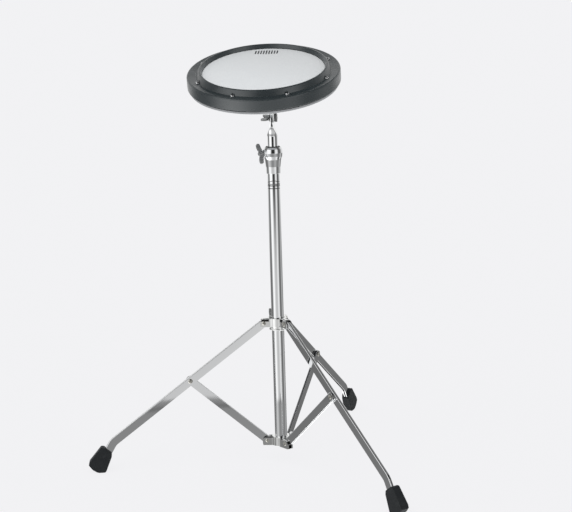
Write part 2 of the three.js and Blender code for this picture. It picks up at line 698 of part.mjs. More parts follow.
function buildPad(stand) {
  const swivel = group(headed(stand, -PAD_SWIVEL), 0, 0, TILT_PIVOT_Z);
  const tilter = group(swivel);
  tilter.rotation.x = radians(PAD_TILT);
  const pad = group(tilter, PAD_OFFSET, 0, CREST_HEIGHT);
  part(pad, "tension_rim", rimGeometry(), rimPlastic);
  part(pad, "base_shell", baseGeometry(), basePlastic);
  part(pad, "backing_board", boardGeometry(), board);
  part(pad, "foam_disc", bar(86.6, -13.1, -HEAD_DEPTH - FILM - GAP, 48), foam);
  part(pad, "drumhead_film", filmGeometry(), film);
  part(pad, "drumhead_hoop", hoopGeometry(), aluminium);
  ringOf(SCREW_COUNT, SCREW_CIRCLE, SCREW_PHASE, () =>
    panScrew(3.3, 2.4, 2.1, 14).translate(0, 0, SCREW_SEAT + GAP),
  ).forEach((screw, k) => part(pad, "tension_screw_" + (k + 1), screw, chrome));
  ringOf(SCREW_COUNT, SCREW_CIRCLE, SCREW_PHASE, () =>
    ring(3.6, 2.4, -PLATE_DEPTH + PLATE_THICKNESS + 1.2, -14.9, SMALL_SIDES),
  ).forEach((insert, k) => part(pad, "threaded_insert_" + (k + 1), insert, brass));
  buildTilter(tilter, pad);
}

// ---------------------------------------------------------------- assembly

const practicePad = new THREE.Group();
practicePad.name = "practice_pad";
const stand = group(practicePad);
["a", "b", "c"].forEach((letter, k) => {
  const heading = FIRST_LEG_HEADING + 120 * k;
  buildLeg(stand, letter, heading, letter === "a" ? RIVET_HOLE : OPEN_PIVOT_HOLE);
  buildRivets(stand, letter, heading);
});
buildCollar(stand);
buildTubes(stand);
buildPad(stand);

practicePad.updateMatrixWorld(true);
const box = new THREE.Box3().setFromObject(practicePad, true);
stand.position.set(-(box.min.x + box.max.x) / 2, -(box.min.y + box.max.y) / 2, -box.min.z);

export default practicePad;
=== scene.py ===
"""A drummer's practice pad on a folding tripod stand.

Lengths in the builders below are millimetres. Each piece is drawn in a frame of its own and put in
the shared frame by a matrix, so its procedural material follows the piece's own length and face.
"""

import math

import bmesh
import bpy
from mathutils import Matrix, Vector


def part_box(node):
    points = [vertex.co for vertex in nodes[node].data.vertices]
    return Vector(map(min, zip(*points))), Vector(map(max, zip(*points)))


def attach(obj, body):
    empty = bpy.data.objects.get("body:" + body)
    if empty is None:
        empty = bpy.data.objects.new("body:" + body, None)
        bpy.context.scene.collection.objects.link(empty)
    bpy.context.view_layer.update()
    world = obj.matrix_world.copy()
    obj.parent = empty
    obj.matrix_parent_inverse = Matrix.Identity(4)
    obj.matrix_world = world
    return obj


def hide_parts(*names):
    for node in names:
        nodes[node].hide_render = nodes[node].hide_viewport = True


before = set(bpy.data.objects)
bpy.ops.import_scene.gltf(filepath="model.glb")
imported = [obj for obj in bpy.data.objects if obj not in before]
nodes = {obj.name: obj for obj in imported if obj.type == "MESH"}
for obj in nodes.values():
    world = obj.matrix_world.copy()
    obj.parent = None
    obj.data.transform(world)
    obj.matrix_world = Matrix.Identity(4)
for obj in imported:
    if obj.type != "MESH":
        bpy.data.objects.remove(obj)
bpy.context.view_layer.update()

# ---------------------------------------------------------------- the frame's dimensions

FIRST_LEG_HEADING = 184.2
PIVOT_RADIUS = 21.5
LOWER_PIVOT_Z = 36.0
UPPER_PIVOT_Z = 225.7
LEG_SPAN = 145.5
BRACE_SPAN = 155.2
LEG_STRAIGHT = 298.7
LEG_BEND = 22.9
LEG_TAIL = 37.0
BAR_HEIGHT = 12.7
LEG_WIDTH = 5.0
BRACE_WIDTH = 4.0
LEG_OFFSET = -1.7
BRACE_OFFSET = 3.1
TUBE_RADIUS = 9.525
TILT_PIVOT_Z = 539.2
CLAMP_BOLT_Z = 486.5
CLAMP_BOLT_HEADING = 205.0
COLLAR_BOLT_HEADING = 118.0
PAD_SWIVEL = 6.95
PAD_TILT = 17.2
PAD_OFFSET = -7.7
CREST_HEIGHT = 82.3
SCREW_CIRCLE = 101.4
SCREW_PHASE = 25.5
SCREW_SEAT = -8.0
SKIRT_DEPTH = 24.8
PLATE_DEPTH = 29.8
FLANGE_SCREW_CIRCLE = 24.0
MAST_RADIUS = 7.95
MAST_FLATTEN = (511.0, 531.4)
BLADE_THICKNESS = 2.6
LUG_THICKNESS = 2.6
LUG_END_RADIUS = 7.6
TILT_WASHER_THICKNESS = 1.5
TILT_NUT_TURN = -81.0
COLLAR_EAR_REACH = 5.8
BRACKET_EAR_REACH = 7.0
LETTERS = "abc"
MM_PER_M = 1000
RIM_RADIUS = 113.4
HEAD_TOP = -6.7
PRINT_THICKNESS = 0.06
PRINTED_BARS = 9
HINGE_GAP = 0.3
PRESSED_HALF_THICKNESS = 2.7
PRESSED_HALF_WIDTH = 11
BLADE_END_RADIUS = 10.9
WING_BOLT_RADIUS = 3
EAR_GAP = 0.7
EAR_WALL = 2.2
EAR_RUN_IN = 3.2
COLLAR_BORE = 10.5
LEG_WALL = 1.2
BRACE_WALL = 0.96
TOP_SKIN = 1.2
BEND_RADIUS = 30.0

RISE = UPPER_PIVOT_Z - LOWER_PIVOT_Z
LEG_ANGLE = math.acos((LEG_SPAN**2 + RISE**2 - BRACE_SPAN**2) / (2 * LEG_SPAN * RISE))
BRACE_ANGLE = math.acos((BRACE_SPAN**2 + RISE**2 - LEG_SPAN**2) / (2 * BRACE_SPAN * RISE))

low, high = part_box("base_tube")
AXIS = Vector(((low.x + high.x) / 2, (low.y + high.y) / 2, 0))


def turn(degrees, axis):
    return Matrix.Rotation(math.radians(degrees), 4, axis)


def at(x, y, z):
    """A shift given in millimetres."""
    return Matrix.Translation((x / MM_PER_M, y / MM_PER_M, z / MM_PER_M))


STAND = Matrix.Translation(AXIS)
SECTION_ALONG_X = turn(90, "Z") @ turn(90, "X")  # a prism's x becomes y, its y becomes z, its height x


def heading(degrees):
    return STAND @ turn(degrees, "Z")


def leg_heading(k):
    return FIRST_LEG_HEADING + 120 * k


def bar_frame(k, pivot_z, slope):
    """x along the bar, y towards its top face, z to the right looking outward."""
    tilt = Matrix.Rotation(slope, 4, "Y")
    return heading(leg_heading(k)) @ at(PIVOT_RADIUS, 0, pivot_z) @ tilt @ turn(90, "X")


TILTER = STAND @ turn(-PAD_SWIVEL, "Z") @ at(0, 0, TILT_PIVOT_Z) @ turn(PAD_TILT, "X")
PAD = TILTER @ at(PAD_OFFSET, 0, CREST_HEIGHT)

# ---------------------------------------------------------------- camera

SENSOR_WIDTH = 36.0
FOCAL_LENGTH = 88.1119
CAMERA_FROM_AXIS = Vector((0, -2.091, 0.748))
YAW, PITCH, ROLL = math.radians(0.42), math.radians(11.36), math.radians(-1.6)


def linked(name, data):
    """A new object, put in the scene."""
    obj = bpy.data.objects.new(name, data)
    bpy.context.scene.collection.objects.link(obj)
    return obj


def build_camera():
    data = bpy.data.cameras.new("camera")
    data.sensor_width = SENSOR_WIDTH
    data.lens = FOCAL_LENGTH
    camera = linked("camera", data)
    forward = Vector((math.sin(YAW) * math.cos(PITCH), math.cos(YAW) * math.cos(PITCH), -math.sin(PITCH)))
    side = forward.cross(Vector((0, 0, 1))).normalized()
    above = side.cross(forward)
    right = side * math.cos(ROLL) + above * math.sin(ROLL)
    up = above * math.cos(ROLL) - side * math.sin(ROLL)
    axes = Matrix((right, up, -forward)).transposed()
    camera.matrix_world = Matrix.Translation(AXIS + CAMERA_FROM_AXIS) @ axes.to_4x4()
    bpy.context.scene.camera = camera


build_camera()

# ---------------------------------------------------------------- meshes


def fillet(points, closed=True, steps=5):
    """A polyline of (x, y) or (x, y, radius) points with its corners rounded."""
    made = []
    count = len(points)
    for i, point in enumerate(points):
        here = Vector(point[:2])
        radius = point[2] if len(point) > 2 else 0
        if not radius or (not closed and i in (0, count - 1)):
            made.append(here)
            continue
        before = Vector(points[i - 1][:2]) - here
        after = Vector(points[(i + 1) % count][:2]) - here
        a, b = before.normalized(), after.normalized()
        angle = a.angle(b)
        if angle > math.pi - 1e-3:
            made.append(here)
            continue
        reach = min(radius / math.tan(angle / 2), before.length * 0.49, after.length * 0.49)
        r = reach * math.tan(angle / 2)
        centre = here + (a + b).normalized() * (r / math.sin(angle / 2))
        start, end = here + a * reach - centre, here + b * reach - centre
        sweep = math.atan2(start.x * end.y - start.y * end.x, start.dot(end))
        for s in range(steps + 1):
            made.append(centre + Matrix.Rotation(sweep * s / steps, 2) @ start)
    return [(v.x, v.y) for v in made]


def arc(cx, cy, radius, start, end, steps=16):
    angles = [math.radians(start + (end - start) * s / steps) for s in range(steps + 1)]
    return [(cx + radius * math.cos(a), cy + radius * math.sin(a)) for a in angles]


def lathe(profile, segments, closed=True):
    """A profile of (radius, height) turned round Z."""
    bm = bmesh.new()
    rings = []
    for r, z in profile:
        if r < 1e-6:
            rings.append([bm.verts.new((0, 0, z))])
            continue
        steps = [2 * math.pi * i / segments for i in range(segments)]
        rings.append([bm.verts.new((r * math.cos(a), r * math.sin(a), z)) for a in steps])
    for a, b in zip(rings, rings[1:] + rings[:1] if closed else rings[1:]):
        for i in range(segments):
            j = (i + 1) % segments
            corners = [a[i % len(a)], a[j % len(a)], b[j % len(b)], b[i % len(b)]]
            corners = list(dict.fromkeys(corners))
            if len(corners) > 2:
                bm.faces.new(corners)
    bmesh.ops.recalc_face_normals(bm, faces=bm.faces)
    return bm


def rims(bm):
    """The edges between the flat ends of a prism and its sides."""
    return [
        e for e in bm.edges
        if len(e.link_faces) == 2
        and min(abs(f.normal.z) for f in e.link_faces) < 0.01
        and max(abs(f.normal.z) for f in e.link_faces) > 0.99
    ]


def prism(outline, bottom, top, bevel=0.0, segments=3, where=lambda point: True, clamp=True):
    """A flat outline in x and y, from z = bottom to z = top.

    Its rims are rounded at the points for which where() is true.
    """
    bm = bmesh.new()
    face = bm.faces.new([bm.verts.new((x, y, bottom)) for x, y in outline])
    made = bmesh.ops.extrude_face_region(bm, geom=[face])
    moved = [e for e in made["geom"] if isinstance(e, bmesh.types.BMVert)]
    bmesh.ops.translate(bm, verts=moved, vec=(0, 0, top - bottom))
    bmesh.ops.recalc_face_normals(bm, faces=bm.faces)
    if bevel:
        bm.normal_update()
        edges = [e for e in rims(bm) if where((e.verts[0].co + e.verts[1].co) / 2)]
        bmesh.ops.bevel(
            bm, geom=edges, offset=bevel, segments=segments, profile=0.5, affect="EDGES",
            clamp_overlap=clamp,
        )
    return bm


def block(x0, x1, y0, y1, z0, z1):
    return prism([(x0, y0), (x1, y0), (x1, y1), (x0, y1)], z0, z1)


def cylinder(radius, bottom, top, segments, bevel=0.0):
    rim = [(radius, bottom, bevel), (radius, top, bevel)]
    return lathe(fillet([(0, bottom), *rim, (0, top)], closed=False, steps=3), segments, closed=False)


def moved(bm, matrix):
    """The mesh moved by a matrix whose shift is in metres."""
    shift = matrix.copy()
    shift.translation = matrix.translation * MM_PER_M
    bm.transform(shift)
    return bm


def along_x(bm):
    """The mesh turned so that its own Z points along +X."""
    return moved(bm, turn(90, "Y"))


def put_together(*meshes):
    """The meshes as one, without joining their surfaces."""
    whole = bmesh.new()
    for bm in meshes:
        mesh = bpy.data.meshes.new("part")
        bm.to_mesh(mesh)
        whole.from_mesh(mesh)
        bpy.data.meshes.remove(mesh)
        bm.free()
    return whole


def temporary(bm):
    """An object that holds the mesh while modifiers work on it."""
    mesh = bpy.data.meshes.new("work")
    bm.to_mesh(mesh)
    bm.free()
    return linked("work", mesh)


def carved(bm, *tools, operation="DIFFERENCE"):
    """The mesh with the tools' shapes taken out of it, or with only what it shares with them."""
    target = temporary(bm)
    helpers = [temporary(tool) for tool in tools]
    for helper in helpers:
        modifier = target.modifiers.new("carve", "BOOLEAN")
        modifier.operation = operation
        modifier.object = helper
        modifier.solver = "EXACT"
    bpy.context.view_layer.update()
    evaluated = target.evaluated_get(bpy.context.evaluated_depsgraph_get())
    result = bmesh.new()
    result.from_mesh(evaluated.to_mesh())
    evaluated.to_mesh_clear()
    for obj in [target, *helpers]:
        mesh = obj.data
        bpy.data.objects.remove(obj)
        bpy.data.meshes.remove(mesh)
    return result


def piece(name, bm, matrix, material, body, *replaced, slot, sharp=32):
    """A visual piece that rides on a body and stands for the replaced nodes."""
    bmesh.ops.scale(bm, vec=(1 / MM_PER_M,) * 3, verts=bm.verts)
    mesh = bpy.data.meshes.new(name)
    bm.to_mesh(mesh)
    bm.free()
    mesh.materials.append(material)
    mesh.shade_smooth()
    mesh.set_sharp_from_angle(angle=math.radians(sharp))
    obj = linked(name, mesh)
    weighted = obj.modifiers.new("flat_faces_stay_flat", "WEIGHTED_NORMAL")
    weighted.keep_sharp = True
    weighted.weight = 100
    obj.matrix_world = matrix
    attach(obj, body)
    if replaced:
        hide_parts(*replaced)
    return obj


# ---------------------------------------------------------------- materials


class Nodes:
    """A small helper that adds and links the nodes of one tree."""

    def __init__(self, tree):
        self.tree = tree
        tree.nodes.clear()

    def feed(self, socket, value):
        if isinstance(value, bpy.types.NodeSocket):
            self.tree.links.new(value, socket)
        else:
            socket.default_value = value

    def add(self, kind, inputs=(), **settings):
        node = self.tree.nodes.new(kind)
        for key, value in settings.items():
            setattr(node, key, value)
        for key, value in dict(inputs).items():
            self.feed(node.inputs[key], value)
        return node

    def noise(self, vector, scale, detail=4.0, rough=0.55, stretch=(1, 1, 1)):
        mapping = self.add("ShaderNodeMapping", {"Vector": vector, "Scale": stretch})
        made = self.add(
            "ShaderNodeTexNoise",
            {"Vector": mapping.outputs[0], "Scale": scale, "Detail": detail, "Roughness": rough},
        )
        return made.outputs["Fac"]

    def span(self, value, low, high, to_low, to_high, smooth=False):
        made = self.add(
            "ShaderNodeMapRange",
            {"Value": value, "From Min": low, "From Max": high, "To Min": to_low, "To Max": to_high},
            interpolation_type="SMOOTHSTEP" if smooth else "LINEAR",
        )
        return made.outputs["Result"]

    def math(self, operation, a, b=0.0):
        return self.add("ShaderNodeMath", {0: a, 1: b}, operation=operation).outputs[0]

    def mix(self, factor, a, b):
        """Colour a where the factor is 0 and colour b where it is 1."""
        return self.add("ShaderNodeMix", {0: factor, 6: a, 7: b}, data_type="RGBA").outputs[2]

    def ramp(self, factor, stops):
        made = self.add("ShaderNodeValToRGB", {"Fac": factor})
        elements = made.color_ramp.elements
        elements[0].position, elements[1].position = stops[0][0], stops[-1][0]
        for position, _ in stops[1:-1]:
            elements.new(position)
        for element, (_, value) in zip(elements, stops):
            element.color = (value, value, value, 1)
        return made.outputs["Color"]


WEAR_EDGE = 0.06
GRAIN_HEIGHT = 0.0003


def surface(
    name, color, dark, rough, rough_spread, metallic=0.0, scale=60.0, stretch=(1, 1, 1),
    grain=400.0, bump=0.1, grain_stretch=(1, 1, 1), wear=None, wear_color=None, specular=0.5,
):
    """A material whose colour drifts between two tones, with roughness patches, a fine grain and wear.

    wear is (scale, threshold, stretch, how much of wear_color shows, change of roughness).
    """
    made = bpy.data.materials.new(name)
    made.use_nodes = True
    n = Nodes(made.node_tree)
    place = n.add("ShaderNodeTexCoord").outputs["Object"]
    drift = n.noise(place, scale, stretch=stretch)
    tone = n.mix(n.span(drift, 0.3, 0.7, 0, 1), (*dark, 1), (*color, 1))
    patches = n.noise(place, scale * 2.7, detail=6, rough=0.65, stretch=stretch)
    roughness = n.span(patches, 0.3, 0.7, rough - rough_spread, rough + rough_spread)
    fine = n.noise(place, grain, detail=3, stretch=grain_stretch)
    if wear:
        wear_scale, threshold, wear_stretch, shown, rougher = wear
        marks = n.noise(place, wear_scale, detail=8, rough=0.7, stretch=wear_stretch)
        amount = n.span(marks, threshold, threshold + WEAR_EDGE, 0, 1, smooth=True)
        tone = n.mix(n.math("MULTIPLY", amount, shown), tone, (*wear_color, 1))
        roughness = n.math("ADD", roughness, n.math("MULTIPLY", amount, rougher))
    relief = n.add("ShaderNodeBump", {"Height": fine, "Strength": bump, "Distance": GRAIN_HEIGHT})
    shader = n.add(
        "ShaderNodeBsdfPrincipled",
        {
            "Base Color": tone, "Roughness": roughness, "Normal": relief.outputs[0],
            "Metallic": metallic, "Specular IOR Level": specular,
        },
    )
    n.add("ShaderNodeOutputMaterial", {"Surface": shader.outputs[0]})
    return made


def grey(value):
    """A grey that leans a little to blue."""
    return (value, value * 1.01, value * 1.02)


CHROME = surface(
    "chrome", grey(0.88), grey(0.82), 0.02, 0.008, metallic=1, scale=14, stretch=(1, 1, 0.25),
    grain=900, bump=0.012, grain_stretch=(1, 1, 0.06),
    wear=(240, 0.72, (1, 1, 0.05), 0.25, 0.1), wear_color=grey(0.5),
)
PLATED = surface(
    "plated_steel", grey(0.84), grey(0.79), 0.016, 0.006, metallic=1, scale=16, stretch=(0.3, 1, 1),
    grain=1100, bump=0.004, grain_stretch=(0.05, 1, 1),
    wear=(150, 0.72, (0.1, 1, 1), 0.22, 0.1), wear_color=grey(0.45),
)
FORMED = surface(
    "formed_steel", (0.88, 0.885, 0.88), (0.82, 0.825, 0.815), 0.03, 0.012, metallic=1, scale=70,
    grain=900, bump=0.012, wear=(220, 0.72, (1, 1, 1), 0.15, 0.1), wear_color=(0.5, 0.5, 0.47),
)
# partly real, partly painted shade: the channel's inside is duller plate, and its much darker colour stands
# in for shade
DULL_SHADED_CHANNEL = surface(
    "channel_inside_dull_and_shaded", grey(0.40), grey(0.30), 0.42, 0.08, metallic=1, scale=60, stretch=(0.3, 1, 1),
    grain=900, bump=0.1, wear=(120, 0.66, (0.2, 1, 1), 0.3, 0.1), wear_color=grey(0.2),
)
RIVET = surface(
    "rivet_steel", (0.62, 0.61, 0.57), (0.42, 0.41, 0.37), 0.28, 0.08, metallic=1, scale=260,
    grain=1500, bump=0.15,
)
ZINC = surface(
    "zinc_casting", (0.40, 0.41, 0.41), (0.28, 0.285, 0.285), 0.42, 0.08, metallic=0.85, scale=120,
    grain=1400, bump=0.35, wear=(90, 0.66, (1, 1, 1), 0.5, -0.1), wear_color=(0.62, 0.62, 0.61),
)
RIM = surface(
    "rim_plastic", (0.026, 0.034, 0.037), (0.021, 0.028, 0.031), 0.30, 0.05, scale=26,
    stretch=(1, 1, 3), grain=1600, bump=0.14, specular=1.0,
    wear=(300, 0.74, (1, 1, 1), 0.15, 0.1), wear_color=(0.07, 0.08, 0.085),
)
BASE = surface(
    "base_plastic", (0.40, 0.41, 0.42), (0.34, 0.35, 0.355), 0.5, 0.06, scale=30, grain=1500, bump=0.2,
    wear=(60, 0.7, (1, 1, 1), 0.3, 0.1), wear_color=(0.3, 0.3, 0.3),
)
RUBBER = surface(
    "rubber", (0.014, 0.0165, 0.018), (0.009, 0.011, 0.0125), 0.62, 0.1, scale=80, grain=1300, bump=0.4,
    wear=(70, 0.62, (1, 1, 1), 0.5, 0.12), wear_color=(0.03, 0.032, 0.033), specular=0.3,
)
NYLON = surface("nylon", (0.02, 0.02, 0.022), (0.013, 0.013, 0.014), 0.45, 0.06, grain=900, bump=0.1)
FOAM = surface("foam", (0.05, 0.05, 0.055), (0.03, 0.03, 0.035), 0.9, 0.05, scale=300, grain=900, bump=0.9)
BOARD = surface(
    "fibreboard", (0.42, 0.29, 0.17), (0.32, 0.22, 0.12), 0.85, 0.06, scale=240, grain=1200, bump=0.5
)
BRASS = surface("brass", (0.72, 0.52, 0.22), (0.6, 0.42, 0.16), 0.3, 0.08, metallic=1, grain=900, bump=0.1)
CASTING = surface(
    "bright_casting", (0.80, 0.81, 0.81), (0.70, 0.71, 0.71), 0.34, 0.06, metallic=0.9, scale=110,
    grain=1400, bump=0.15, wear=(90, 0.68, (1, 1, 1), 0.3, 0.1), wear_color=(0.5, 0.5, 0.5),
)
DARK_STEEL = surface(
    "dark_steel", grey(0.16), grey(0.10), 0.3, 0.08, metallic=1, scale=180, grain=1500, bump=0.2,
    wear=(120, 0.66, (1, 1, 1), 0.5, 0.05), wear_color=grey(0.5),
)
ALUMINIUM = surface("aluminium", grey(0.75), grey(0.66), 0.35, 0.06, metallic=1, grain=900, bump=0.15)
PRINT = surface("print", (0.075, 0.08, 0.085), (0.045, 0.048, 0.05), 0.6, 0.05, scale=500, bump=0.2)
# painted shade: the grooves' faces get a darker metal that stands in for the shade inside them
GROOVE = surface(
    "groove_painted_shade", grey(0.34), grey(0.2), 0.22, 0.08, metallic=0.9, scale=120, grain=1200, bump=0.1
)


def film_material():
    """The sprayed coating: pale, matt, finely pebbled, with painted shade darker to the back and right."""
    made = bpy.data.materials.new("coated_film")
    made.use_nodes = True
    n = Nodes(made.node_tree)
    place = n.add("ShaderNodeTexCoord").outputs["Object"]
    split = n.add("ShaderNodeSeparateXYZ", {"Vector": place})
    # painted shade: the coating's colour darkens from front left to back right, standing in for light
    # falling off
    slant = n.math("ADD", split.outputs["Y"], n.math("MULTIPLY", split.outputs["X"], 0.35))
    painted_shade = n.span(slant, -0.09, 0.09, 0, 1, smooth=True)
    tone = n.mix(painted_shade, (0.66, 0.68, 0.69, 1), (0.56, 0.575, 0.58, 1))
    cloud = n.noise(place, 22, detail=5)
    tone = n.mix(n.span(cloud, 0.35, 0.7, 0, 0.12), tone, (0.5, 0.51, 0.52, 1))
    speckle = n.noise(place, 2600, detail=2)
    pebble = n.noise(place, 1500, detail=3, rough=0.7)
    tone = n.mix(n.span(speckle, 0.5, 0.8, 0, 0.1), tone, (0.75, 0.76, 0.77, 1))
    roughness = n.span(cloud, 0.3, 0.7, 0.5, 0.62)
    relief = n.add("ShaderNodeBump", {"Height": pebble, "Strength": 0.35, "Distance": 0.0002})
    shader = n.add(
        "ShaderNodeBsdfPrincipled",
        {
            "Base Color": tone, "Roughness": roughness, "Normal": relief.outputs[0],
            "Specular IOR Level": 0.4,
        },
    )
    n.add("ShaderNodeOutputMaterial", {"Surface": shader.outputs[0]})
    return made


FILM = film_material()

for node, material in {
    "backing_board": BOARD, "drumhead_hoop": ALUMINIUM, "split_bushing": NYLON,
    **{f"threaded_insert_{k}": BRASS for k in range(1, 9)},
}.items():
    nodes[node].data.materials.clear()
    nodes[node].data.materials.append(material)

# ---------------------------------------------------------------- pad


def on_circle(k, count=8, radius=SCREW_CIRCLE, phase=SCREW_PHASE):
    angle = math.radians(phase + 360 * k / count)
    return radius * math.cos(angle), radius * math.sin(angle)


def build_rim():
    profile = fillet(
        [
            (92.4, -9.8), (98.2, -9.8), (98.2, -11.3), (110.5, -11.3, 1), (110.5, -SKIRT_DEPTH, 0.3),
            (RIM_RADIUS, -SKIRT_DEPTH, 0.8), (RIM_RADIUS, -7.1, 2.2), (100.1, -8.35, 1.2), (95.4, -0.3, 1.8),
            (92.3, 0.15, 1.6), (90.5, -6.4, 0.3), (92.4, -6.4),
        ],
        steps=6,
    )
    wells = [moved(cylinder(3.7, SCREW_SEAT - 0.3, -2, 32), at(*on_circle(k), 0)) for k in range(8)]
    piece("rim", carved(lathe(profile, 256), *wells), PAD, RIM, "pad", "tension_rim", slot="rim_plastic")


def build_head():
    profile = fillet(
        [(0, -7.1), (90.1, -7.1, 1.2), (91.35, -9), (91.35, -13), (91.75, -13), (91.75, -8.6, 1.2),
         (90.4, HEAD_TOP, 1.2), (0, HEAD_TOP)],
        closed=False, steps=4,
    )
    piece("head", lathe(profile, 192, closed=False), PAD, FILM, "pad", "drumhead_film", slot="coated_film")
    bars = []
    for i in range(PRINTED_BARS):
        from_middle = i - PRINTED_BARS // 2
        x, y = 2.2 / 2, (16 - 0.8 * abs(from_middle)) / 2
        outline = fillet([(-x, -y, 0.6), (x, -y, 0.6), (x, y, 0.6), (-x, y, 0.6)])
        bar = prism(outline, HEAD_TOP, HEAD_TOP + PRINT_THICKNESS)
        bars.append(moved(bar, at(from_middle * 4.1 - 3.5, 74.5, 0)))
    piece("printed_bars", put_together(*bars), PAD, PRINT, "pad", slot="coated_film")
    crown = fillet([(0, -13.1), (86.6, -13.1, 0.8), (86.6, -7.5, 1.2), (0, -7.42)], closed=False)
    foam = piece("foam_pad", lathe(crown, 96, closed=False), PAD, FOAM, "pad", "foam_disc", slot="foam")


def build_base():
    floor = -PLATE_DEPTH
    profile = fillet(
        [
            (0, floor + 1.2), (34, floor + 1.2), (35, floor, 0.6), (104, floor, 0.3),
            (104.6, floor + 0.7, 0.3), (105.6, floor + 0.7, 0.3), (106.4, floor - 0.9, 0.3),
            (110, floor - 0.9, 1.0), (110, -27.3, 0.3), (107.6, -27.3), (107.6, -25.1), (106.6, -25.1),
            (106.6, -26.8), (0, -26.8),
        ],
        closed=False, steps=4,
    )
    piece("base", lathe(profile, 256, closed=False), PAD, BASE, "pad", "base_shell", slot="base_plastic")


def cross_recess(size, floor, top):
    """The cutter for a screw head's cross, with arms of the given reach."""
    arm = size * 0.26
    points = [
        (arm, arm), (size, arm), (size, -arm), (arm, -arm), (arm, -size), (-arm, -size), (-arm, -arm),
        (-size, -arm), (-size, arm), (-arm, arm), (-arm, size), (arm, size),
    ]
    return prism(points, floor, top)


THREAD_PITCH = 1.1
THREAD_DEPTH = 0.35


def threaded(radius, bottom, top):
    """A shank with its thread drawn as close ridges."""
    root = radius - THREAD_DEPTH
    profile = [(0, bottom), (radius - 0.5, bottom), (root, bottom + 0.5)]
    z = bottom + 0.6
    while z + THREAD_PITCH < top:
        profile += [(root, z), (radius, z + THREAD_PITCH * 0.5)]
        z += THREAD_PITCH
    profile += [(root, z), (radius - 0.1, top), (0, top)]
    return lathe(profile, 24, closed=False)


def pan_head(radius, height):
    """A domed screw head on z = 0 with a cross recess."""
    dome = [(0, 0), (radius - 0.25, 0, 0.1), (radius, 0.35, 0.3), (radius * 0.93, height * 0.5, 1.4),
            (radius * 0.55, height * 0.93, 2.4), (0, height)]
    shape = lathe(fillet(dome, closed=False, steps=6), 40, closed=False)
    return carved(shape, cross_recess(radius * 0.36, height * 0.5, height + 1))


def build_pad_screws():
    for k in range(8):
        x, y = on_circle(k)
        bm = put_together(pan_head(3.05, 2.4), threaded(2.05, -14, 0.2))
        place = PAD @ at(x, y, SCREW_SEAT) @ turn(37 * k + 11, "Z")
        piece(f"screw_{k + 1}", bm, place, CHROME, f"screw_{k + 1}", f"tension_screw_{k + 1}",
              slot="chrome")
    for k in range(4):
        x, y = on_circle(k, 4, FLANGE_SCREW_CIRCLE, 45)
        bm = put_together(pan_head(3.6, 2.2), threaded(1.85, -14, 0.2))
        place = PAD @ at(x, y, -PLATE_DEPTH - 4.6) @ turn(180, "X") @ turn(29 * k, "Z")
        piece(f"flange_screw_head_{k + 1}", bm, place, PLATED, "pad", f"flange_screw_{k + 1}",
              slot="plated_steel")


# ---------------------------------------------------------------- tilter


def wing_shape(start, hub_radius, hub_length, span, width, thickness):
    """Two thumb wings and a hub, cast in one, along +X, with the wings spread along Z."""
    hub = fillet([(0, 0), (hub_radius, 0, 0.5), (hub_radius, hub_length * 0.6, 1.5),
                  (hub_radius * 0.7, hub_length, 0.8), (0, hub_length)], closed=False)
    hub = along_x(lathe(hub, 40, closed=False))
    lean = hub_length * 0.35
    foot = hub_radius * 0.35

    def curve(p0, p1, p2, p3):
        """The points of a cubic after its first one."""
        for s in range(1, 13):
            t = s / 12
            u = 1 - t
            yield tuple(
                u**3 * a + 3 * u * u * t * b + 3 * u * t * t * c + t**3 * d
                for a, b, c, d in zip(p0, p1, p2, p3)
            )

    tip = (width * 0.9 + lean, span * 0.9)
    back = (lean, span * 0.86)
    outline = [(0.6, foot), (hub_length * 0.7, foot)]
    outline += curve(outline[-1], (hub_length * 0.8 + lean, span * 0.45), (width + lean, span * 0.7), tip)
    outline += curve(tip, (width * 0.75 + lean, span * 1.03), (lean + 0.5, span * 1.03), back)
    outline += curve(back, (lean * 0.8, span * 0.6), (0.6, span * 0.45), (0.6, foot + 0.2))
    wing = moved(prism(outline, -thickness / 2, thickness / 2, bevel=thickness * 0.32), turn(90, "X"))
    other = wing.copy()
    other.transform(turn(180, "X"))
    bead = along_x(cylinder(hub_radius * 0.55, hub_length - 0.3, hub_length + 0.5, 24, 0.3))
    return moved(put_together(hub, wing, other, bead), at(start, 0, 0))


